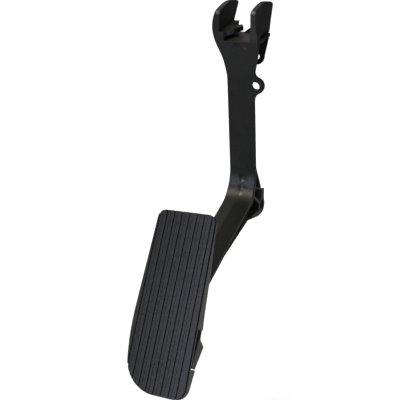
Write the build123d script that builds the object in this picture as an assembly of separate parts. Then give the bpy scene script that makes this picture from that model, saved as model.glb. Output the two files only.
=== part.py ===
from build123d import *
from math import asin, atan, atan2, cos, degrees, hypot, radians, sin, sqrt, tan
import os

# Hanging accelerator pedal lever with a tilting foot pad. Millimetres, +X to the driver's right, +Y away from
# the driver, +Z up. The origin is the mouth of the fork: midway between the ears, on the arm's front face,
# level with the ears' front corners. A "level" is a distance below the origin.

# Fork that clasps the pedal sensor
jaw_width = 30.0
left_ear_wall = 5.7
right_ear_wall = 4.8
ear_taper = 0.5
left_ear_flare = 9.7
left_ear_lean = 2.9
right_ear_lean = 1.6
hip_width = 6.2
flare_level = 18.0
hip_level = 22.5
ear_rise = 3.2
ear_crest = 28.0
ear_reach = 50.8
left_ear_longer = 3.6
ear_heel = 3.4
ear_tip_drop = 3.2
ear_tip_radius = 2.8
ear_bevel = 1.6
ear_bevel_slope = 1.7
ear_front_slope = 0.25
ear_tip_slope = 0.5
fork_floor_level = 28.0
fork_floor_wall = 3.2
fork_floor_reach = 34.8
ear_step = 1.2
ear_step_start = 24.0
window_start = 13.0
window_end = 32.0
window_height = 3.4
slit_start = 5.2
slit_end = 7.8
gusset_reach = 18.6
gusset_rise = 13.2

# Tongue that snaps into the sensor, on the left ear
tongue_level = 19.4
tongue_wall = 4.6
tongue_step = 4.4
tongue_reach = 12.7
tongue_root = 27.0
tongue_nose = 24.8
tongue_hook = 4.4

# Upper arm
arm_width = 27.3
arm_wall = 4.0
neck_level = 76.0
neck_offset = 1.17
waist_width = 6.6
throat_width = 2.75
throat_level = 46.6
collar_width = 0.4
collar_level = 58.4
right_neck_level = 69.0
edge_round = 0.8

# Lugs with eyes
eye_bore = 4.0
front_lug_radius = 8.4
front_lug_level = 70.9
front_lug_x = 16.7
front_lug_blend = 5.0
front_lug_low_blend = 10.0
rear_lug_radius = 8.8
rear_lug_level = 51.4
rear_lug_x = 6.1
rear_lug_wall = 2.2
rear_lug_shoulder = 6.0
eye_margin = 0.4

# Knee: the bend, its cross boss and ribs
corner_level = 182.3
bend_radius = 33.0
bend_left = 14.6
bend_right = 12.7
lower_slope = 12.0
boss_y = 9.7
boss_level = 203.0
boss_radius = 8.5
boss_bore = 5.2
knee_half = 14.7
belly_reach = 12.5
belly_drop = 6.9
boss_keel = 0.3
rib_wall = 2.6
web_wall = 5.0
back_rib_start = 157.0
block_y = 11.8
block_rise = 19.0
block_wall = 7.5
block_half = 15.2
upper_rib_turn = 52.0
lower_rib_run = 35.5

# Back web and gussets of the upper arm
web_low_depth = 14.0
web_low_level = 100.0
back_gussets = 4
back_gusset_wall = 2.4
back_gusset_margin = 2.0

# Lower arm
lower_width = 30.0
lower_wall = 2.6
flange_wall = 2.6
flange_depth = 10.4
flange_end = 98.0
lower_web_depth = 15.5
lower_length = 197.39
shoe_start = 172.0
shoe_half = 21.0
shoe_rise = 9.0
shoe_drop = 6.0
flare_half = 25.9
flare_reach = 10.0

# Foot pad, which leans back from the upright
pad_lean = 39.7
pad_length = 157.6
pad_top_width = 54.2
pad_low_width = 61.0
pad_top_corner = 7.5
pad_top_skew = 0.7
pad_right_corner = 10.0
heel_length = 69.6
heel_inset = 0.2
heel_sweep_turn = 11.0
heel_corner_radius = 31.0

# Tread mat
mat_wall = 3.2
mat_round = 0.5
groove_pitch = 7.08
groove_first = -25.8
groove_count = 8
groove_width = 1.1
groove_depth = 1.3
line_offset = 3.0
line_width = 0.5
line_depth = 0.4
stud_radius = 2.5
stud_head_radius = 3.8
stud_head_wall = 1.6
stud_clearance = 0.1
stud_runs = (18.0, 51.0, 84.0)
stud_from_heel = 16.6
stud_x = 16.5

# Foot plate
plate_wall = 2.0
skirt_wall = 2.6
skirt_top_depth = 6.6
skirt_upper = (28.0, 7.6)
skirt_middle = (46.0, 10.8)
skirt_lower = (72.0, 13.3)
skirt_low_depth = 16.6
skirt_heel_depth = 15.2
toe_length = 5.6
toe_depth = 9.4
notch_lead = 6.4
notch_gap = 0.6
notch_round = 2.4
plate_rib_wall = 2.0
plate_rib_depth = 4.5
plate_rib_x = 9.0
plate_rib_gap = 11.0
cross_rib_runs = (34.0, 68.0)

# Cross foot of the arm: its corners are (run, depth) on the pad, its top lies under the lower arm's top face
foot_from_heel = 54.2
foot_start = pad_length - foot_from_heel
foot_drop = 4.28
foot_length = 26.8
foot_back_run = 7.1
foot_nose_setback = 1.0
flare_lead = 6.4
foot_top = (foot_start, 10.6)
foot_back = (foot_start + foot_back_run, 24.2)
foot_heel = (foot_start + foot_length, 13.9)
foot_nose = (foot_heel[0] - foot_nose_setback, 6.2)
flare_back = (foot_start - flare_lead, 22.8)
foot_inset = 0.6
foot_wall = 3.0
foot_cheek = 3.2
foot_round = 0.6
hub_half = 13.5
hub_cheek = 6.3
stop_gap = 0.3

# Pad hinge in the cross foot
hinge_after = 13.6
hinge_depth = 13.8
tilt_limit = 10.0
tilt_clearance = 0.8
pin_radius = 2.5
pin_chamfer = 0.4
pin_seat = 0.02
pin_blind_wall = 1.3
pin_end_gap = 0.2
bush_wall = 1.1
bush_running = 0.05
bush_seat = 0.02
bush_flange = 1.5
bush_flange_radius = 5.0
side_play = 0.4
lug_eye_radius = 5.4
lug_root = 9.0

# Torsion spring on the pin
spring_wire = 1.4
spring_mean = 4.7
spring_turns = 4
spring_pitch = 1.9
spring_front_reach = 13.0
spring_back_reach = 4.6
spring_gap = 0.15
spring_ledge = 4.4

# Faces and directions that follow from the sizes above
jaw_half = jaw_width / 2
arm_half = arm_width / 2
lower_half = lower_width / 2
foot_half = pad_low_width / 2 - foot_inset
left_top = -jaw_half - left_ear_wall
right_top = jaw_half + right_ear_wall
left_low = -jaw_half - left_ear_lean
right_low = jaw_half - right_ear_lean
floor_bottom = fork_floor_level + fork_floor_wall
web_right = rear_lug_x - eye_bore - eye_margin
web_left = web_right - web_wall
belly = (boss_y - belly_reach, -boss_level - belly_drop)
block_top = boss_level - block_rise
heel_start = pad_length - heel_length
skirt_toe = (pad_length - toe_length, toe_depth)
notch_start = foot_start - notch_lead
plate_rib_end = notch_start - plate_rib_gap
notch_end = foot_heel[0] + notch_gap
hinge_run = foot_start + hinge_after
half_turn = (90 - lower_slope) / 2
bend_tangent = bend_radius * tan(radians(half_turn))
bend_level = corner_level - bend_tangent
slope_cos = cos(radians(lower_slope))
slope_sin = sin(radians(lower_slope))
lean_cos = cos(radians(pad_lean))
lean_sin = sin(radians(pad_lean))
plate_back = mat_wall + plate_wall
lug_inner = hub_half + side_play
flange_outer = foot_half - foot_cheek - side_play
lug_outer = flange_outer - bush_flange
slot_half = hub_half - hub_cheek

# How far cutting shapes reach, how far joined shapes run into each other, and how near a place on a face lies
far = 400.0
overlap = 1.0
near = 0.001


def lower_point(run, depth):
    """Place in the side view: run along the lower arm from the corner, depth under its top face."""
    return (-run * slope_cos + depth * slope_sin, -corner_level - run * slope_sin - depth * slope_cos)


foot_y, foot_z = lower_point(lower_length, foot_drop)
pad_y = foot_y + foot_top[0] * lean_sin - foot_top[1] * lean_cos
pad_level = -foot_z - foot_top[0] * lean_cos - foot_top[1] * lean_sin


def pad_point(run, depth):
    """Place in the side view: run down the pad from its top edge, depth behind its tread."""
    y = pad_y - run * lean_sin + depth * lean_cos
    return (y, -pad_level - run * lean_cos - depth * lean_sin)


def tilted(run, depth):
    """Where a place on the pad goes, in (run, depth), when the pad is tilted to its limit."""
    turn = radians(tilt_limit)
    along = run - hinge_run
    behind = depth - hinge_depth
    return (
        hinge_run + along * cos(turn) + behind * sin(turn),
        hinge_depth - along * sin(turn) + behind * cos(turn),
    )


def towards(start, end, distance):
    """Place at a distance from start on the way to end."""
    share = distance / hypot(end[0] - start[0], end[1] - start[1])
    return (start[0] + (end[0] - start[0]) * share, start[1] + (end[1] - start[1]) * share)


def flat(*points):
    """Polygon with its points at their own places."""
    return Polygon(*points, align=None)


def pad_flat(*points):
    """Polygon in the side view from (run, depth) places on the pad."""
    return flat(*[pad_point(*point) for point in points])


def disc(centre, radius):
    """Disc at its own place in a view."""
    return Pos(*centre) * Circle(radius)


def rib(start, end, wall):
    """Straight rib in the side view."""
    share = wall / 2 / hypot(end[0] - start[0], end[1] - start[1])
    dy = (start[1] - end[1]) * share
    dz = (end[0] - start[0]) * share
    near = [(start[0] + dy, start[1] + dz), (end[0] + dy, end[1] + dz)]
    return flat(*near, (end[0] - dy, end[1] - dz), (start[0] - dy, start[1] - dz))


def side_solid(face, left, right):
    """Prism of a side view face, between two places across the pedal."""
    return Pos(left, 0, 0) * extrude(Plane.YZ * face, right - left, dir=(1, 0, 0))


def front_solid(face, near, back):
    """Prism of a front view face, between two places along Y."""
    view = Plane((0, near, 0), x_dir=(1, 0, 0), z_dir=(0, -1, 0))
    return extrude(view * face, back - near, dir=(0, 1, 0))


def pad_solid(face, top, bottom):
    """Prism of a face drawn on the pad, between two depths behind the tread."""
    return pad_plane * extrude(Pos(0, 0, -top) * face, bottom - top, dir=(0, 0, -1))


pad_plane = Plane((0, pad_y, -pad_level), x_dir=(1, 0, 0), z_dir=(0, -lean_cos, lean_sin))
hinge_y, hinge_z = pad_point(hinge_run, hinge_depth)


def round_bar(radius, left, right):
    """Round bar on the hinge line, between two places across the pedal."""
    return side_solid(disc((hinge_y, hinge_z), radius), left, right)


# Fork and upper arm
def arm_outline():
    """Front view of the outside of the fork and the upper arm, without the jaw and the lug."""
    flare = (-jaw_half - left_ear_flare, -flare_level)
    waist = (-jaw_half - waist_width, -floor_bottom)
    throat = (neck_offset - arm_half - throat_width, -throat_level)
    collar = (neck_offset - arm_half - collar_width, -collar_level)
    neck_left = (neck_offset - arm_half, -neck_level)
    left_down = (-bend_left - neck_left[0], neck_level - bend_level)
    right_down = (bend_right - neck_offset - arm_half, neck_level - bend_level)
    right_share = (bend_level - right_neck_level) / (bend_level - neck_level)
    neck_right = (bend_right - right_down[0] * right_share, -right_neck_level)
    ear_low = (right_top - ear_taper, -flare_level)
    hip = (jaw_half + hip_width, -hip_level)
    hip_low = (jaw_half + hip_width, -fork_floor_level)
    left_places = [(left_top, 0), flare, waist, throat, collar, neck_left]
    left_side = Spline(left_places, tangents=[(-ear_taper, -1), left_down])
    right_side = Spline([hip_low, neck_right], tangents=[(0, -1), right_down])
    return make_face(
        [
            left_side,
            Line(neck_left, (-bend_left, -bend_level)),
            Line((-bend_left, -bend_level), (bend_right, -bend_level)),
            Line((bend_right, -bend_level), neck_right),
            right_side,
            Line(hip_low, hip),
            Line(hip, ear_low),
            Line(ear_low, (right_top, ear_rise)),
            Line((right_top, ear_rise), (left_top, ear_rise)),
            Line((left_top, ear_rise), (left_top, 0)),
        ]
    )


def jaw_opening():
    """Front view of the space between the ears, with the step that carries the tongue."""
    return flat(
        (-jaw_half, 2 * ear_rise),
        (left_low, -tongue_level),
        (left_low + tongue_step, -tongue_level),
        (left_low + tongue_step, -fork_floor_level),
        (right_low, -fork_floor_level),
        (jaw_half, 2 * ear_rise),
    )


def ear_profile(reach):
    """Side view of an ear: front corner, arched top, rounded tip and sloping back."""
    tip = (reach, -ear_tip_drop)
    heel = (fork_floor_reach + ear_heel, -fork_floor_level)
    tangents = [(1, ear_front_slope), (1, -ear_tip_slope)]
    face = make_face(
        [
            Line((0, -floor_bottom), (0, 0)),
            Spline([(0, 0), (ear_crest, ear_rise), tip], tangents=tangents),
            Line(tip, heel),
            Line(heel, (fork_floor_reach, -fork_floor_level)),
            Line((fork_floor_reach, -fork_floor_level), (fork_floor_reach, -floor_bottom)),
            Line((fork_floor_reach, -floor_bottom), (0, -floor_bottom)),
        ]
    )
    return fillet(face.vertices().sort_by(Axis.X)[-1:], ear_tip_radius)


def fork():
    """Ears and floor have one section from front to back, cut to the side view of the ears."""
    above_floor = Pos(0, -floor_bottom) * Rectangle(far, far, align=(Align.CENTER, Align.MIN))
    beside_ear = Pos(right_top - ear_taper, -fork_floor_level) * Rectangle(far, far, align=Align.MIN)
    above_hip = Pos(0, -flare_level) * Rectangle(far, far, align=(Align.CENTER, Align.MIN))
    section = (arm_outline() & above_floor) - jaw_opening() - (beside_ear - above_hip)
    left_reach = ear_reach + left_ear_longer
    ears = side_solid(ear_profile(left_reach), -far, 0) + side_solid(ear_profile(ear_reach), 0, far)
    solid = front_solid(section, 0, left_reach) & ears
    recess = flat(
        (-jaw_half - ear_step, 2 * ear_rise),
        (left_low - ear_step, -tongue_level),
        (left_low + ear_step, -tongue_level),
        (-jaw_half + ear_step, 2 * ear_rise),
    )
    solid -= front_solid(recess, ear_step_start, left_reach)
    for start, end in ((slit_start, slit_end), (window_start, window_end)):
        window = Pos(start, -fork_floor_level) * Rectangle(end - start, window_height, align=Align.MIN)
        solid -= side_solid(window, right_low, far)
    corner = flat(
        (right_low, -fork_floor_level + gusset_rise),
        (right_low, -fork_floor_level),
        (right_low - gusset_reach, -fork_floor_level),
    )
    solid += front_solid(corner, fork_floor_reach - rib_wall, fork_floor_reach)
    nose_x = -jaw_half + tongue_reach
    tongue = flat(
        (left_low, 0),
        (left_low + tongue_step, 0),
        (left_low + tongue_step + rib_wall, tongue_hook),
        (nose_x, tongue_nose),
        (nose_x - rib_wall, tongue_nose + tongue_hook),
        (nose_x - tongue_hook, tongue_nose + tongue_hook),
        (nose_x - 2 * tongue_hook, tongue_root),
        (left_low, tongue_root),
    )
    return solid + extrude(Pos(0, 0, -tongue_level) * tongue, tongue_wall, dir=(0, 0, -1))


def upper_plate():
    """Flat front of the fork and upper arm, with the front lug blended into its right edge."""
    lug_centre = (front_lug_x, -front_lug_level)
    face = arm_outline() + disc(lug_centre, front_lug_radius)
    corners = face.vertices().filter_by(
        lambda v: abs(hypot(v.X - front_lug_x, v.Y + front_lug_level) - front_lug_radius) < near
    )
    face = fillet(corners.sort_by(Axis.Y)[-1:], front_lug_blend)
    low_corner = face.vertices().sort_by_distance(corners.sort_by(Axis.Y)[0])[:1]
    face = fillet(low_corner, front_lug_low_blend)
    face -= disc(lug_centre, eye_bore)
    face -= jaw_opening()
    under_ears = Pos(0, -far) * Rectangle(2 * far, far, align=(Align.CENTER, Align.MIN))
    return front_solid(face & under_ears, 0, arm_wall)


def rear_lug():
    """Wall across the back of the fork's floor that hangs down into the rear eye."""
    centre = (rear_lug_x, -rear_lug_level)
    face = flat(
        (rear_lug_x + rear_lug_radius + rear_lug_shoulder, -fork_floor_level - overlap),
        (rear_lug_x + rear_lug_radius, -rear_lug_level),
        (rear_lug_x - rear_lug_radius, -rear_lug_level),
        (rear_lug_x - rear_lug_radius - rear_lug_shoulder, -fork_floor_level - overlap),
    )
    face = face + disc(centre, rear_lug_radius) - disc(centre, eye_bore)
    return front_solid(face, fork_floor_reach - rear_lug_wall, fork_floor_reach)


def back_web():
    """Middle web behind the upper arm, with gussets to the plate on both sides."""
    rear = fork_floor_reach - rear_lug_wall / 2
    profile = flat(
        (arm_wall / 2, -fork_floor_level - overlap),
        (rear, -fork_floor_level - overlap),
        (rear, -rear_lug_level + eye_bore),
        (web_low_depth, -web_low_level),
        (web_low_depth, -block_top),
        (arm_wall / 2, -bend_level),
    )
    solid = side_solid(profile, web_left, web_right)
    first = web_low_level
    pitch = (bend_level - first) / back_gussets
    for count in range(back_gussets):
        gusset = flat(
            (neck_offset - arm_half + back_gusset_margin, arm_wall / 2),
            (arm_half - back_gusset_margin, arm_wall / 2),
            ((web_left + web_right) / 2, web_low_depth),
        )
        solid += Pos(0, 0, -first - count * pitch) * extrude(gusset, back_gusset_wall, dir=(0, 0, -1))
    return solid


# Knee and lower arm
def between_sides():
    """Space between the two sides of the arm, which spread through the bend to the lower arm's width."""
    turn = radians(half_turn)
    chord = 2 * bend_radius * sin(turn)
    width = flat(
        (-bend_left, far), (bend_right, far), (bend_right, 0), (lower_half, -chord), (lower_half, -far),
        (-lower_half, -far), (-lower_half, -chord), (-bend_left, 0),
    )
    across = Plane((0, 0, -bend_level), x_dir=(1, 0, 0), z_dir=(0, -cos(turn), sin(turn)))
    return extrude(across * width, far, both=True)


def bent_plate():
    """Side view band of the bend and the lower arm, cut to the arm's width."""
    centre = (-bend_radius, -bend_level)
    turn = radians(half_turn)
    outer = bend_radius + arm_wall

    def on_bend(radius, angle):
        return (centre[0] + radius * cos(angle), centre[1] - radius * sin(angle))

    thin = lower_point(flange_end, lower_wall)
    face = make_face(
        [
            ThreePointArc((0, -bend_level), on_bend(bend_radius, turn), on_bend(bend_radius, 2 * turn)),
            Line(on_bend(bend_radius, 2 * turn), lower_point(lower_length, 0)),
            Line(lower_point(lower_length, 0), lower_point(lower_length, lower_wall)),
            Line(lower_point(lower_length, lower_wall), thin),
            Line(thin, on_bend(outer, 2 * turn)),
            ThreePointArc(on_bend(outer, 2 * turn), on_bend(outer, turn), (arm_wall, -bend_level)),
            Line((arm_wall, -bend_level), (0, -bend_level)),
        ]
    )
    return side_solid(face, -lower_half, lower_half) & between_sides()


def knee():
    """Cross boss behind the bend, carried by full-width ribs and a middle web with pockets to each side."""
    boss = (boss_y, -boss_level)
    block = (block_y, -block_top)
    turn = radians(upper_rib_turn)
    middle = bend_radius + arm_wall / 2
    upper_root = (-bend_radius + middle * cos(turn), -bend_level - middle * sin(turn))
    start = asin((back_rib_start - bend_level) / bend_radius)
    back_root = (-bend_radius + middle * cos(start), -back_rib_start)
    lower_root = lower_point(lower_rib_run, arm_wall / 2)
    block_foot = (block_y, -boss_level + boss_radius / 2)
    ribs = rib(back_root, block, rib_wall)
    ribs += rib(upper_root, boss, rib_wall)
    ribs += flat(
        lower_point(lower_rib_run, flange_depth - rib_wall),
        lower_point(lower_rib_run, flange_depth),
        belly,
        (boss_y, -boss_level - boss_radius - boss_keel),
        (boss_y, -boss_level - boss_radius / 2),
    )
    solid = side_solid(ribs, -lower_half, lower_half) & between_sides()
    block_head = (block_y + block_wall / 4, -block_top - rib_wall)
    solid += side_solid(rib(block_head, block_foot, block_wall), -block_half, block_half)
    solid += side_solid(disc(boss, boss_radius), -knee_half, knee_half)
    web_root = (arm_wall / 2, -bend_level)
    web = flat(web_root, (web_low_depth, -block_top), block_foot, boss, belly, lower_root)
    web -= disc((-bend_radius, -bend_level), bend_radius + arm_wall / 4)
    solid += side_solid(web, web_left, web_right)
    return solid - side_solid(disc(boss, boss_bore), -far, far)


def lower_ribs():
    """Side flanges that run out along the lower arm, and its middle web down to the cross foot."""
    flange = flat(
        lower_point(lower_rib_run, lower_wall / 2),
        lower_point(flange_end, lower_wall / 2),
        lower_point(flange_end, lower_wall),
        lower_point(lower_rib_run, flange_depth),
    )
    solid = side_solid(flange, -lower_half, -lower_half + flange_wall)
    solid += side_solid(flange, lower_half - flange_wall, lower_half)
    web = flat(
        lower_point(0, arm_wall),
        lower_point(shoe_start, 0),
        pad_point(*foot_top),
        pad_point(*towards(foot_back, foot_top, foot_wall)),
        lower_point(0, lower_web_depth + arm_wall),
    )
    return solid + side_solid(web, -web_wall / 2, web_wall / 2)


def cross_foot():
    """Cross foot of the arm: back wall, two end cheeks and two hub cheeks, open to the pad and below."""
    wall = pad_flat(
        foot_top,
        foot_back,
        towards(foot_back, foot_heel, foot_wall),
        towards(foot_top, foot_nose, foot_wall),
    )
    solid = side_solid(wall, -foot_half, foot_half)
    end_face = pad_flat(foot_top, foot_back, foot_heel, foot_nose)
    end_face = fillet(end_face.vertices(), foot_round)
    stop = (foot_nose[0], plate_back + stop_gap)
    hub_face = pad_flat(foot_top, foot_back, foot_heel, stop)
    for side in (-1, 1):
        cheek = sorted((side * foot_half, side * (foot_half - foot_cheek)))
        solid += side_solid(end_face, *cheek)
        hub = sorted((side * hub_half, side * slot_half))
        solid += side_solid(hub_face, *hub)
    shoe = flat(
        lower_point(shoe_start, 0),
        pad_point(*towards(foot_top, foot_back, -shoe_rise)),
        pad_point(*towards(foot_top, foot_nose, foot_wall)),
        pad_point(*towards(foot_top, foot_back, shoe_drop)),
        lower_point(shoe_start, lower_wall),
    )
    solid += side_solid(shoe, -shoe_half, shoe_half)
    flare_run = lower_length - flare_reach
    flare_top = lower_point(flare_run, 0)
    flare = flat(pad_point(*foot_top), flare_top, pad_point(*flare_back), pad_point(*foot_back))
    flare_wall = flat(
        pad_point(*foot_top),
        flare_top,
        lower_point(flare_run, foot_wall),
        pad_point(*towards(foot_top, foot_back, foot_wall)),
    )
    solid += side_solid(flare_wall, -flare_half, flare_half)
    for side in (-1, 1):
        solid += side_solid(flare, *sorted((side * flare_half, side * (flare_half - rib_wall))))
    seat = hinge_depth + spring_mean + spring_wire / 2 + spring_gap
    ledge = pad_flat(
        foot_back,
        towards(foot_back, foot_heel, spring_ledge),
        (towards(foot_back, foot_heel, spring_ledge)[0], seat),
        (foot_back[0], seat),
    )
    return solid + side_solid(ledge, -slot_half, slot_half)


def pedal_arm():
    """The whole arm is one moulding; its front is rounded at the sides and bevelled at the ears' tops."""
    solid = upper_plate() + bent_plate()
    solid += fork()
    for side in (-1, 1):
        bend_edge = bend_right if side > 0 else -bend_left
        middle = ((neck_offset + side * arm_half + bend_edge) / 2, 0, -(neck_level + bend_level) / 2)
        solid = fillet(solid.edges().sort_by_distance(middle)[:1], edge_round)
    bevel_top = ear_bevel * (ear_bevel_slope - 1)
    bevel = flat((-overlap, -ear_bevel), (0, -ear_bevel), (ear_bevel, bevel_top), (-overlap, bevel_top))
    solid -= side_solid(bevel, -far, far)
    solid += rear_lug()
    solid += back_web()
    solid += knee()
    solid += lower_ribs()
    solid += cross_foot()
    solid -= side_solid(disc((boss_y, -boss_level), boss_bore), -far, far)
    back_line = plate_back + tilt_clearance
    swept = pad_flat(tilted(0, back_line), tilted(hinge_run, back_line), (hinge_run, -far), (0, -far))
    solid -= side_solid(swept, -far, far)
    return solid - round_bar(pin_radius + pin_seat, -far, foot_half - pin_blind_wall)


# Foot pad
def pad_outline():
    """Pad from above, run downwards: straight tapered sides and a heel swept round at the lower left."""
    top_half = pad_top_width / 2
    low_half = pad_low_width / 2
    taper = atan((low_half - heel_inset - top_half) / heel_start)
    heading = radians(heel_sweep_turn) - taper
    corner_drop = heel_corner_radius * (1 - sin(heading))
    sweep_radius = (pad_length - heel_start - corner_drop) / (sin(heading) + sin(taper))
    heel = (heel_inset - low_half, -heel_start)
    top_right = (top_half, pad_top_skew)
    sweep = JernArc(heel, (-sin(taper), -cos(taper)), sweep_radius, heel_sweep_turn)
    corner = JernArc(sweep @ 1, sweep % 1, heel_corner_radius, 90 - degrees(heading))
    right_low_corner = (low_half, -pad_length)
    face = make_face(
        [
            Line((-top_half, 0), heel),
            sweep,
            corner,
            Line(corner @ 1, right_low_corner),
            Line(right_low_corner, top_right),
            Line(top_right, (-top_half, 0)),
        ]
    )
    top = face.vertices().sort_by(Axis.Y)[-2:]
    face = fillet(top, pad_top_corner)
    low = face.vertices().filter_by_position(Axis.Y, -pad_length - near, -pad_length + near)
    return fillet(low.sort_by(Axis.X)[-1:], pad_right_corner)


def stud_places():
    """Places of the mat's studs on the pad, clear of the hinge lugs."""
    runs = (*stud_runs, pad_length - stud_from_heel)
    return [(side * stud_x, -run) for run in runs for side in (-1, 1)]


def foot_plate():
    """Flat plate with skirts of varying depth, notched for the cross foot, with ribs and hinge lugs."""
    outline = pad_outline()
    edge_top = (0, skirt_top_depth)
    edge_low = (notch_start, skirt_low_depth)
    edge_places = [edge_top, skirt_upper, skirt_middle, skirt_lower, edge_low]
    back_edge = Spline([pad_point(*place) for place in edge_places])
    outside = make_face(
        [
            Line(pad_point(-overlap, mat_wall), pad_point(-overlap, skirt_top_depth)),
            Line(pad_point(-overlap, skirt_top_depth), pad_point(*edge_top)),
            back_edge,
            Line(pad_point(*edge_low), pad_point(notch_end, skirt_heel_depth)),
            Line(pad_point(notch_end, skirt_heel_depth), pad_point(*skirt_toe)),
            Line(pad_point(*skirt_toe), pad_point(pad_length + overlap, skirt_toe[1])),
            Line(pad_point(pad_length + overlap, skirt_toe[1]), pad_point(pad_length + overlap, mat_wall)),
            Line(pad_point(pad_length + overlap, mat_wall), pad_point(-overlap, mat_wall)),
        ]
    )
    solid = pad_solid(outline, 0, far) & side_solid(outside, -far, far)
    solid -= pad_solid(offset(outline, -skirt_wall), plate_back, far)
    notch = pad_flat(
        (notch_start, plate_back), (notch_end, plate_back), (notch_end, far), (notch_start, far)
    )
    inner_corners = notch.vertices().sort_by(lambda v: -v.Y * lean_cos + v.Z * lean_sin)[-2:]
    solid -= side_solid(fillet(inner_corners, notch_round), -far, far)
    inside = offset(outline, -skirt_wall / 2)
    ribs = Sketch()
    for side in (-1, 1):
        ribs += Pos(side * plate_rib_x, -plate_rib_end / 2) * Rectangle(plate_rib_wall, plate_rib_end)
    for run in cross_rib_runs:
        ribs += Pos(0, -run) * Rectangle(pad_low_width, plate_rib_wall)
    ribs &= inside
    solid += pad_solid(ribs, plate_back - plate_wall / 2, plate_back + plate_rib_depth) & side_solid(
        outside, -far, far
    )
    lug = pad_flat(
        (hinge_run - lug_root, plate_back - plate_wall / 2),
        (hinge_run + lug_root, plate_back - plate_wall / 2),
        (hinge_run + lug_eye_radius, hinge_depth),
        (hinge_run - lug_eye_radius, hinge_depth),
    )
    lug += disc((hinge_y, hinge_z), lug_eye_radius)
    lug -= disc((hinge_y, hinge_z), pin_radius + bush_running + bush_wall + bush_seat)
    for side in (-1, 1):
        solid += side_solid(lug, *sorted((side * lug_inner, side * lug_outer)))
    for place in stud_places():
        solid -= pad_solid(disc(place, stud_radius + stud_clearance), 0, far)
    return solid


def tread_mat():
    """Soft mat over the whole plate, with grooves and fine lines, and studs with heads through the plate."""
    solid = pad_solid(pad_outline(), 0, mat_wall)
    top = solid.faces().sort_by(Axis((0, 0, 0), pad_plane.z_dir))[-1]
    solid = fillet(top.edges(), mat_round)
    for count in range(groove_count):
        groove = Pos(groove_first + count * groove_pitch, -pad_length / 2)
        solid -= pad_solid(groove * Rectangle(groove_width, 2 * pad_length), -overlap, groove_depth)
    for count in range(groove_count - 1):
        line = Pos(groove_first + count * groove_pitch + line_offset, -pad_length / 2)
        solid -= pad_solid(line * Rectangle(line_width, 2 * pad_length), -overlap, line_depth)
    head = plate_back + stud_clearance
    for place in stud_places():
        solid += pad_solid(disc(place, stud_radius), mat_wall / 2 + groove_depth / 2, head + stud_head_wall)
        solid += pad_solid(disc(place, stud_head_radius), head, head + stud_head_wall)
    return solid


# Hinge pieces
def hinge_pin():
    """Steel pin with chamfered ends, driven in from the left."""
    solid = round_bar(pin_radius, -foot_half, foot_half - pin_blind_wall - pin_end_gap)
    ends = solid.edges().filter_by(GeomType.CIRCLE)
    return chamfer(ends, pin_chamfer)


def hinge_bush(side):
    """Flanged plain bush in a lug, with its flange towards the end cheek."""
    inner = pin_radius + bush_running
    solid = round_bar(inner + bush_wall, *sorted((side * lug_inner, side * lug_outer)))
    solid += round_bar(bush_flange_radius, *sorted((side * lug_outer, side * flange_outer)))
    return solid - round_bar(inner, -far, far)


def pad_spring():
    """Close-wound torsion spring: one leg on the back of the plate, the other on the ledge of the foot."""
    lift = hinge_depth - plate_back - spring_wire / 2 - spring_gap
    reach = hypot(spring_front_reach, lift)
    leg_angle = degrees(atan2(lift, spring_front_reach) - asin(spring_mean / reach))
    turns = spring_turns + 0.5 - leg_angle / 360
    coil_line = Helix(spring_pitch, spring_pitch * turns, spring_mean)
    wire = Circle(spring_wire / 2)
    coil = sweep(Plane(coil_line @ 0, z_dir=coil_line % 0) * wire, path=coil_line)
    front_leg = extrude(Plane(coil_line @ 0, z_dir=-(coil_line % 0)) * wire, sqrt(reach**2 - spring_mean**2))
    back_leg = extrude(Plane(coil_line @ 1, z_dir=coil_line % 1) * wire, spring_back_reach)
    start = (-spring_pitch * turns / 2, hinge_y, hinge_z)
    place = Plane(start, x_dir=(0, lean_sin, lean_cos), z_dir=(1, 0, 0))
    return place * (Rot(0, 0, 90 + leg_angle) * (coil + front_leg + back_leg))


os.makedirs("parts", exist_ok=True)
nodes = {
    "pedal_arm": pedal_arm(),
    "foot_plate": foot_plate(),
    "tread_mat": tread_mat(),
    "hinge_pin": hinge_pin(),
    "hinge_bush_left": hinge_bush(-1),
    "hinge_bush_right": hinge_bush(1),
    "pad_spring": pad_spring(),
}
for name, solid in nodes.items():
    export_step(solid, f"parts/{name}.step")
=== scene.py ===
import bpy
from mathutils import Matrix, Vector


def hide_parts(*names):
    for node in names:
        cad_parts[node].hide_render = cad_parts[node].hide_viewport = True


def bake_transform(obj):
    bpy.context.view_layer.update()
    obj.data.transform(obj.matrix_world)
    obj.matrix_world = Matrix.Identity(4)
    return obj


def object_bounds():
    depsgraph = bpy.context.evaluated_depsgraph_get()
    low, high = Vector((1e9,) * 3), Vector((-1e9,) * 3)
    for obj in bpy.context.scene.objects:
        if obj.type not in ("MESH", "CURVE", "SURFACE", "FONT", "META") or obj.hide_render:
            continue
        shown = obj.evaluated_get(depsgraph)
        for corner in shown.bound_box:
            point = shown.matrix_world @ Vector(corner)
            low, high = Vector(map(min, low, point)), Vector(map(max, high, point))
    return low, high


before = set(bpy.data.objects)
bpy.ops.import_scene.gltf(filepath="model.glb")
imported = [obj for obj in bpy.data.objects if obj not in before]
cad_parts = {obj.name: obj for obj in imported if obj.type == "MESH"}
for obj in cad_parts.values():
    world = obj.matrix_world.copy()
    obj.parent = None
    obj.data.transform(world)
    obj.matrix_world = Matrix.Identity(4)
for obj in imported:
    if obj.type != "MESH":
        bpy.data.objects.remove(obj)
cad_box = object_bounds()

# Pedal arm
# One injection moulding of black glass-filled nylon: fork, lugs, knee boss, ribs and cross foot in one
# piece. The tool was polished for the front faces and spark-eroded for the sides, so the front is satin
# and the sides are dull.


def linear(hex_colour):
    """Linear colour of an sRGB hex value."""
    shares = [int(hex_colour[place:place + 2], 16) / 255 for place in (0, 2, 4)]
    return [share / 12.92 if share <= 0.04045 else ((share + 0.055) / 1.055) ** 2.4 for share in shares] + [1]


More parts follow.
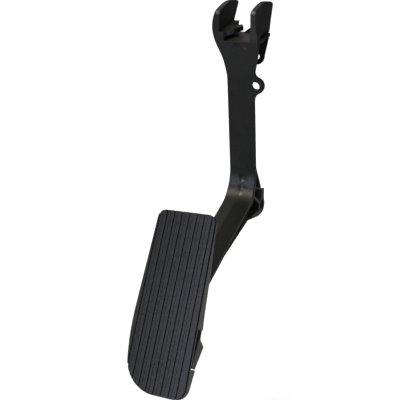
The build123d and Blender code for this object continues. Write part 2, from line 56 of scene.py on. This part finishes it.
def node(tree, kind, inputs, **settings):
    """Adds a node, or takes one that is there, and gives it its settings, input values and links."""
    made = tree.nodes[kind] if kind in tree.nodes else tree.nodes.new(kind)
    for name, value in settings.items():
        setattr(made, name, value)
    for name, value in inputs.items():
        if isinstance(value, bpy.types.NodeSocket):
            tree.links.new(value, made.inputs[name])
        else:
            made.inputs[name].default_value = value
    return made


def dress(piece, material):
    """Puts one material on every slot of a piece."""
    piece.data.materials.clear()
    piece.data.materials.append(material)


# Sizes in metres: the flow marks, the scuffs, and the radius to which edges are broken
flow_mark = 0.018
scuff_width = 0.003
broken_edge = 0.0006
# The real grain is about 0.2 mm wide, drawn coarser so that it still shows
grain_width = 0.0009
grain_depth = 0.0002

# Black nylon, moulded: near black under a satin skin with faint flow marks. Broad soft highlights lie on the
# front, the sides swallow the light, and broken edges draw thin pale lines.
black_nylon = bpy.data.materials.new("moulded_black_nylon")
black_nylon.use_nodes = True
tree = black_nylon.node_tree
coordinates = node(tree, "ShaderNodeTexCoord", {})
place = coordinates.outputs["Object"]
normal = coordinates.outputs["Normal"]
flow = node(
    tree, "ShaderNodeTexNoise", {"Vector": place, "Scale": 1 / flow_mark, "Detail": 4, "Roughness": 0.6}
)
scuff = node(tree, "ShaderNodeTexNoise", {"Vector": place, "Scale": 1 / scuff_width, "Detail": 3})
grain = node(tree, "ShaderNodeTexNoise", {"Vector": place, "Scale": 1 / grain_width, "Detail": 3})
tone = node(
    tree,
    "ShaderNodeMix",
    {"Factor": flow.outputs["Fac"], 6: linear("141515"), 7: linear("1d1e1d")},
    data_type="RGBA",
).outputs[2]

# The left half of the lower arm is painted paler, up to a straight line along it. Its rounded corners
# carry a painted highlight, and its sides are painted black as painted shade. The ends of the cross foot
# are rubbed grey, and the pockets of the knee are painted paler as painted light.
step_line = (-0.0021, -0.0029)
bend_run = (-0.012, -0.022)
foot_inner, foot_outer = 0.0285, 0.0295
pocket_middle = (0.012, 0.010, -0.196)
pocket_reach = (0.019, 0.012)

where = node(tree, "ShaderNodeSeparateXYZ", {"Vector": place})
facing = node(tree, "ShaderNodeSeparateXYZ", {"Vector": normal})
outward = node(tree, "ShaderNodeMath", {0: where.outputs["X"]}, operation="ABSOLUTE")
sideways = node(tree, "ShaderNodeMath", {0: facing.outputs["X"]}, operation="ABSOLUTE")
left_half = node(
    tree,
    "ShaderNodeMapRange",
    {"Value": where.outputs["X"], "From Min": step_line[0], "From Max": step_line[1]},
)
below_bend = node(
    tree,
    "ShaderNodeMapRange",
    {"Value": where.outputs["Y"], "From Min": bend_run[0], "From Max": bend_run[1]},
)
tone_shift = node(
    tree,
    "ShaderNodeMath",
    {0: left_half.outputs["Result"], 1: below_bend.outputs["Result"]},
    operation="MULTIPLY",
)
foot_end = node(
    tree,
    "ShaderNodeMapRange",
    {"Value": outward.outputs[0], "From Min": foot_inner, "From Max": foot_outer},
)
lower_arm = node(
    tree,
    "ShaderNodeMapRange",
    {
        "Value": outward.outputs[0],
        "From Min": foot_outer,
        "From Max": foot_inner,
        "To Max": below_bend.outputs["Result"],
    },
)
corner, flank = [
    node(
        tree,
        "ShaderNodeMapRange",
        {
            "Value": sideways.outputs[0],
            "From Min": least,
            "From Max": most,
            "To Max": lower_arm.outputs["Result"],
        },
    )
    for least, most in ((0.2, 0.5), (0.8, 0.97))
]
from_pocket = node(tree, "ShaderNodeVectorMath", {0: place, 1: pocket_middle}, operation="DISTANCE")
painted_pocket_light = node(
    tree,
    "ShaderNodeMapRange",
    {"Value": from_pocket.outputs["Value"], "From Min": pocket_reach[0], "From Max": pocket_reach[1]},
)
for share, colour in (
    (below_bend.outputs["Result"], "101110"),
    # left half of the lower arm, painted paler
    (tone_shift.outputs[0], "1f1f1d"),
    # painted highlight on the lower arm's rounded corners
    (corner.outputs["Result"], "404040"),
    # painted shade: the lower arm's sides painted black
    (flank.outputs["Result"], "040404"),
    (foot_end.outputs["Result"], "343536"),
    # painted light: the knee's pockets painted paler
    (painted_pocket_light.outputs["Result"], "2b2a28"),
):
    tone = node(
        tree, "ShaderNodeMix", {"Factor": share, 6: tone, 7: linear(colour)}, data_type="RGBA"
    ).outputs[2]

# Painted light on faces that look one way: the upward faces in the fork and the fronts of the fork and of its
# right ear are painted paler as if more lit, and the root of the tongue carries a painted highlight standing
# in for a shiny lump that the shape lacks. Each fades out beyond the core of its reach.
core = 0.7
for middle, reach, way, colour in (
    # painted light on the fork's upward faces
    ((-0.002, 0.018, -0.024), 0.0195, (0, 0, 1), "3c3a36"),
    # painted light on the fork's front
    ((-0.002, 0, -0.035), 0.03, (0, -1, 0), "232323"),
    # painted highlight on the right ear's front
    ((0.0165, 0, -0.012), 0.018, (0, -1, 0), "363739"),
    # painted highlight standing in for a shiny lump at the tongue's root
    ((-0.0093, 0.0082, -0.0214), 0.006, (0.92, -0.39, 0), "54575e"),
):
    away = node(tree, "ShaderNodeVectorMath", {0: place, 1: middle}, operation="DISTANCE")
    patchy = node(
        tree,
        "ShaderNodeMapRange",
        {
            "Value": away.outputs["Value"],
            "From Min": reach,
            "From Max": core * reach,
            "To Max": scuff.outputs["Fac"],
        },
    )
    turned = node(tree, "ShaderNodeVectorMath", {0: normal, 1: way}, operation="DOT_PRODUCT")
    painted_light_patch = node(
        tree,
        "ShaderNodeMapRange",
        {
            "Value": turned.outputs["Value"],
            "From Min": 0.5,
            "From Max": 0.9,
            "To Max": patchy.outputs["Result"],
        },
    )
    tone = node(
        tree,
        "ShaderNodeMix",
        {"Factor": painted_light_patch.outputs["Result"], 6: tone, 7: linear(colour)},
        data_type="RGBA",
    ).outputs[2]

# Small ragged marks: painted highlights on the ears' front corners, painted shade in the recess and the slit
# of the right hip, a knock under the fork drawn as the painted shade of its dent, a chip under the fork, and
# painted highlights on the bend where the web behind it meets it. The scuff noise, which is a half on
# average, tears their outlines.
ragged = node(
    tree,
    "ShaderNodeVectorMath",
    {0: scuff.outputs["Color"], 1: (scuff_width, scuff_width, scuff_width), 2: place},
    operation="MULTIPLY_ADD",
)
for spot, radius, colour in (
    # painted highlights on the ears' front corners
    ((-0.0182, 0.0005, -0.0006), 0.0028, "585a5d"),
    ((0.0170, 0.0008, -0.0002), 0.0030, "6c6e71"),
    # painted shade in the recess and the slit of the right hip
    ((0.0188, 0.0190, -0.0280), 0.0065, "020202"),
    ((0.0190, 0.0270, -0.0280), 0.0065, "020202"),
    ((0.0212, 0.0012, -0.0258), 0.0022, "020202"),
    # a knock, drawn as the painted shade of its dent
    ((-0.0014, 0, -0.0307), 0.0034, "000000"),
    ((0.0080, 0, -0.0345), 0.0012, "4c4c4c"),
    # painted highlights on the bend
    ((0, -0.0037, -0.1708), 0.0022, "60646e"),
    ((0.0007, -0.0128, -0.1816), 0.0024, "6c6a5e"),
):
    middle = [share + scuff_width / 2 for share in spot]
    away = node(tree, "ShaderNodeVectorMath", {0: ragged.outputs["Vector"], 1: middle}, operation="DISTANCE")
    inside = node(
        tree, "ShaderNodeMapRange", {"Value": away.outputs["Value"], "From Min": radius, "From Max": 0}
    )
    tone = node(
        tree,
        "ShaderNodeMix",
        {"Factor": inside.outputs["Result"], 6: tone, 7: linear(colour)},
        data_type="RGBA",
    ).outputs[2]

# Satin fronts, dull sides and matt flanks of the lower arm
satin = node(
    tree,
    "ShaderNodeMapRange",
    {"Value": flow.outputs["Fac"], "From Min": 0.3, "From Max": 0.7, "To Min": 0.30, "To Max": 0.37},
)
dull = node(
    tree,
    "ShaderNodeMapRange",
    {
        "Value": sideways.outputs[0],
        "From Min": 0.5,
        "From Max": 0.9,
        "To Min": satin.outputs["Result"],
        "To Max": 0.6,
    },
)
matt = node(tree, "ShaderNodeMix", {"Factor": flank.outputs["Result"], 2: dull.outputs["Result"], 3: 0.95})

# The surface waves with the flow, and two dents lie where the web behind the bend drew its front wall in as
# it cooled
wave_depth = 0.0015
dent_radius = 0.0055
dent_depth = 0.0008
edges = node(tree, "ShaderNodeBevel", {"Radius": broken_edge}, samples=4)
waves = node(
    tree,
    "ShaderNodeBump",
    {
        "Height": flow.outputs["Fac"],
        "Strength": 0.6,
        "Distance": wave_depth,
        "Normal": edges.outputs["Normal"],
    },
)
wall = 1
for middle in ((0.0003, -0.0026, -0.1683), (0.0003, -0.0075, -0.1765)):
    away = node(tree, "ShaderNodeVectorMath", {0: place, 1: middle}, operation="DISTANCE")
    rise = node(
        tree,
        "ShaderNodeMapRange",
        {"Value": away.outputs["Value"], "From Min": 0, "From Max": dent_radius},
        interpolation_type="SMOOTHSTEP",
    )
    wall = node(tree, "ShaderNodeMath", {0: rise.outputs["Result"], 1: wall}, operation="MULTIPLY").outputs[0]
dents = node(
    tree,
    "ShaderNodeBump",
    {"Height": wall, "Strength": 1, "Distance": dent_depth, "Normal": waves.outputs["Normal"]},
)
skin = node(
    tree,
    "ShaderNodeBump",
    {
        "Height": grain.outputs["Fac"],
        "Strength": 0.15,
        "Distance": grain_depth,
        "Normal": dents.outputs["Normal"],
    },
)
node(
    tree,
    "Principled BSDF",
    {
        "Base Color": tone,
        "Roughness": matt.outputs[0],
        "Normal": skin.outputs["Normal"],
        "IOR": 1.5,
        "Specular IOR Level": 0.35,
    },
)
dress(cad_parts["pedal_arm"], black_nylon)

# Foot plate
# Moulded nylon carrier of the tread: a flat plate with side skirts and ribs, hung on the hinge pin by two
# lugs at its back. It is duller and greyer than the arm.
rub_cloud = 0.012

# Grey nylon, rubbed: a dull mid grey with cloudy wear. Its grain is the arm's, drawn as coarse as there.
grey_nylon = bpy.data.materials.new("rubbed_grey_nylon")
grey_nylon.use_nodes = True
tree = grey_nylon.node_tree
place = node(tree, "ShaderNodeTexCoord", {}).outputs["Object"]
wear_and_sheen = node(
    tree, "ShaderNodeTexNoise", {"Vector": place, "Scale": 1 / rub_cloud, "Detail": 5, "Roughness": 0.65}
)
grain = node(tree, "ShaderNodeTexNoise", {"Vector": place, "Scale": 1 / grain_width, "Detail": 3})
tone = node(
    tree,
    "ShaderNodeMix",
    {"Factor": wear_and_sheen.outputs["Fac"], 6: linear("262626"), 7: linear("343432")},
    data_type="RGBA",
)
edges = node(tree, "ShaderNodeBevel", {"Radius": broken_edge}, samples=4)
skin = node(
    tree,
    "ShaderNodeBump",
    {
        "Height": grain.outputs["Fac"],
        "Strength": 0.2,
        "Distance": grain_depth,
        "Normal": edges.outputs["Normal"],
    },
)
node(
    tree,
    "Principled BSDF",
    {"Base Color": tone.outputs[2], "Roughness": 0.5, "Normal": skin.outputs["Normal"], "IOR": 1.5},
)
dress(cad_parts["foot_plate"], grey_nylon)

# Tread mat
# Soft tread moulded in rubber, with lengthwise grooves and fine lines, and held on the plate by its studs.
# Its top came from a sand-grained tool and is a little dusty.
dust_cloud = 0.03
# The real sand grain is about 0.5 mm wide, drawn coarser so that it still shows
sand_grain = 0.0013
sand_depth = 0.0003
# Direction square to the top of the tread
tread_up = (0, -0.769, 0.639)

# Tread rubber, grained: dark blue-grey speckle with hardly any sheen on top, and sides painted black as
# painted shade
tread_rubber = bpy.data.materials.new("grained_tread_rubber")
tread_rubber.use_nodes = True
tree = tread_rubber.node_tree
coordinates = node(tree, "ShaderNodeTexCoord", {})
place = coordinates.outputs["Object"]
dust = node(tree, "ShaderNodeTexNoise", {"Vector": place, "Scale": 1 / dust_cloud, "Detail": 4})
grain = node(tree, "ShaderNodeTexNoise", {"Vector": place, "Scale": 1 / sand_grain, "Detail": 2})
speckle = node(
    tree, "ShaderNodeMapRange", {"Value": grain.outputs["Fac"], "From Min": 0.35, "From Max": 0.65}
)
body = node(
    tree,
    "ShaderNodeMix",
    {"Factor": speckle.outputs["Result"], 6: linear("292a2d"), 7: linear("3e4045")},
    data_type="RGBA",
)
dusty = node(
    tree,
    "ShaderNodeMix",
    {"Factor": dust.outputs["Fac"], 6: body.outputs[2], 7: linear("3a3b3f")},
    data_type="RGBA",
)

# Painted sheen: the top is painted palest along the right and darkest at the top end
where = node(tree, "ShaderNodeSeparateXYZ", {"Vector": place})
sheen_across, sheen_along = [
    node(
        tree,
        "ShaderNodeMapRange",
        {
            "Value": where.outputs[way],
            "From Min": start,
            "From Max": end,
            "To Min": least,
            "To Max": most,
        },
    )
    for way, start, end, least, most in (("X", -0.027, 0.027, 0.80, 1.22), ("Z", -0.165, -0.2, 0.87, 1))
]
wear_and_sheen = node(
    tree,
    "ShaderNodeMath",
    {0: sheen_across.outputs["Result"], 1: sheen_along.outputs["Result"]},
    operation="MULTIPLY",
)
# painted sheen: the tread's tone scaled across and along it
tone_shift = node(tree, "ShaderNodeVectorMath", {0: dusty.outputs[2], "Scale": wear_and_sheen.outputs[0]}, operation="SCALE")
upward = node(
    tree, "ShaderNodeVectorMath", {0: coordinates.outputs["Normal"], 1: tread_up}, operation="DOT_PRODUCT"
)
lit_top = node(
    tree, "ShaderNodeMapRange", {"Value": upward.outputs["Value"], "From Min": 0.3, "From Max": 0.9}
)
# painted shade: faces turned away from the top of the tread are painted black
tone = node(
    tree,
    "ShaderNodeMix",
    {"Factor": lit_top.outputs["Result"], 6: linear("0b0b0d"), 7: tone_shift.outputs["Vector"]},
    data_type="RGBA",
)
skin = node(
    tree, "ShaderNodeBump", {"Height": grain.outputs["Fac"], "Strength": 0.5, "Distance": sand_depth}
)
node(
    tree,
    "Principled BSDF",
    {
        "Base Color": tone.outputs[2],
        "Roughness": 0.7,
        "Normal": skin.outputs["Normal"],
        "IOR": 1.5,
        "Specular IOR Level": 0.03,
    },
)
dress(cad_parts["tread_mat"], tread_rubber)

# Hinge pin and spring
# Steel pin driven into the arm's foot, and a torsion spring wound from drawn wire that sits on it. The
# spring's long leg lies on the back of the plate and pushes the pad against its stop.

# The mottle of the real steel is about 0.1 mm wide, drawn coarser so that it still shows
steel_mottle = 0.0008

# Steel, drawn and oiled: mid grey metal with a fine mottle that breaks up its shine
drawn_steel = bpy.data.materials.new("drawn_steel")
drawn_steel.use_nodes = True
tree = drawn_steel.node_tree
place = node(tree, "ShaderNodeTexCoord", {}).outputs["Object"]
mottle = node(tree, "ShaderNodeTexNoise", {"Vector": place, "Scale": 1 / steel_mottle, "Detail": 3})
tone = node(
    tree,
    "ShaderNodeMix",
    {"Factor": mottle.outputs["Fac"], 6: linear("8b8b89"), 7: linear("a6a6a2")},
    data_type="RGBA",
)
node(tree, "Principled BSDF", {"Base Color": tone.outputs[2], "Roughness": 0.35, "Metallic": 1})
dress(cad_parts["hinge_pin"], drawn_steel)

# The spring is drawn from a copy of the part's mesh, set in the part's place, and the part itself is hidden.
spring = bpy.data.objects.new("wound_spring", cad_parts["pad_spring"].data.copy())
bpy.context.scene.collection.objects.link(spring)
dress(spring, drawn_steel)
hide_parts("pad_spring")
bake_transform(spring)

# Hinge bushes
# A pair of flanged bushes turned from natural acetal rod. They are pressed into the plate's lugs and turn
# on the pin.
acetal_cloud = 0.004

# Acetal, natural: warm white, faintly cloudy
acetal = bpy.data.materials.new("natural_acetal")
acetal.use_nodes = True
tree = acetal.node_tree
place = node(tree, "ShaderNodeTexCoord", {}).outputs["Object"]
cloud = node(tree, "ShaderNodeTexNoise", {"Vector": place, "Scale": 1 / acetal_cloud, "Detail": 3})
tone = node(
    tree,
    "ShaderNodeMix",
    {"Factor": cloud.outputs["Fac"], 6: linear("d8d4c8"), 7: linear("e6e3da")},
    data_type="RGBA",
)
node(tree, "Principled BSDF", {"Base Color": tone.outputs[2], "Roughness": 0.4, "IOR": 1.48})
for name in ("hinge_bush_left", "hinge_bush_right"):
    dress(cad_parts[name], acetal)

# Stage
# White paper floor, a grey card that shows only in the pedal's reflections, soft lights and the camera of
# the photograph.
scene = bpy.context.scene
scene.view_settings.view_transform = "Standard"

floor_drop = 0.09
paper_cloud = 0.3
for name, dark, pale, left, right, near, back, lift, mirrored in (
    ("white_paper", "f4f4f4", "f7f7f7", -6, 6, -6, 6, 0, False),
    ("grey_card", "b4b4b4", "c0c0c0", -0.4, 0.5, -0.33, 0.4, 0.0005, True),
):
    # Paper, uncoated: matt and faintly cloudy
    paper = bpy.data.materials.new(name)
    paper.use_nodes = True
    tree = paper.node_tree
    place = node(tree, "ShaderNodeTexCoord", {}).outputs["Object"]
    cloud = node(tree, "ShaderNodeTexNoise", {"Vector": place, "Scale": 1 / paper_cloud, "Detail": 3})
    tone = node(
        tree,
        "ShaderNodeMix",
        {"Factor": cloud.outputs["Fac"], 6: linear(dark), 7: linear(pale)},
        data_type="RGBA",
    )
    node(
        tree,
        "Principled BSDF",
        {"Base Color": tone.outputs[2], "Roughness": 0.9, "Specular IOR Level": 0.0},
    )
    level = cad_box[0][2] - floor_drop + lift
    corners = [(left, near, level), (right, near, level), (right, back, level), (left, back, level)]
    sheet = bpy.data.meshes.new(name)
    sheet.from_pydata(corners, [], [(0, 1, 2, 3)])
    ground = bpy.data.objects.new(name, sheet)
    scene.collection.objects.link(ground)
    dress(ground, paper)
    ground.visible_glossy = mirrored
    ground.visible_camera = ground.visible_diffuse = ground.visible_shadow = not mirrored

# The room is brightest towards the window at the front left
window_way = (-0.50, -0.78, 0.37)
sky = bpy.data.worlds.new("studio")
scene.world = sky
sky.use_nodes = True
tree = sky.node_tree
way = node(tree, "ShaderNodeTexCoord", {}).outputs["Generated"]
towards = node(tree, "ShaderNodeVectorMath", {0: way, 1: window_way}, operation="DOT_PRODUCT")
glow = node(
    tree,
    "ShaderNodeMapRange",
    {"Value": towards.outputs["Value"], "From Min": -0.6, "From Max": 1, "To Min": 0.07, "To Max": 0.37},
)
node(tree, "Background", {"Color": linear("f3f5f2"), "Strength": glow.outputs["Result"]})

# The ceiling shines straight down behind the pedal, and the other lights point at the pedal's middle
for name, tint, power, size, spot, aim, mirrored in (
    ("window", "dfe9ff", 7.4, 0.9, (-0.75, -1.55, 0.75), (0, -0.05, -0.15), True),
    ("lamp", "fff0d8", 5.6, 0.55, (-0.58, -0.42, 1.15), (0, -0.05, -0.15), True),
    ("back_light", "ffffff", 0.35, 0.6, (-0.69, 1.45, 0.8), (0, -0.05, -0.15), True),
    ("ceiling", "ffffff", 165.0, 5.0, (0, 1.2, 2.4), (0, 1.2, -0.15), False),
):
    light = bpy.data.lights.new(name, "AREA")
    light.color = linear(tint)[:3]
    light.energy = power
    light.size = size
    holder = bpy.data.objects.new(name, light)
    holder.location = spot
    holder.rotation_euler = (Vector(aim) - Vector(spot)).to_track_quat("-Z", "Y").to_euler()
    holder.visible_glossy = mirrored
    scene.collection.objects.link(holder)

# The camera stands where the photograph's did, found from the straight edges of the arm and the pad
camera_right = (0.9152, 0.3967, -0.0704, 0)
camera_up = (-0.1201, 0.4353, 0.8922, 0)
camera_back = (0.3846, -0.8082, 0.4460, 0)
camera_place = (0.2810, -0.6979, 0.1835, 1)
lens = bpy.data.cameras.new("photo_view")
lens.sensor_width = 36
lens.lens = 73.35
camera = bpy.data.objects.new("photo_view", lens)
camera.matrix_world = Matrix((camera_right, camera_up, camera_back, camera_place)).transposed()
scene.collection.objects.link(camera)
scene.camera = camera
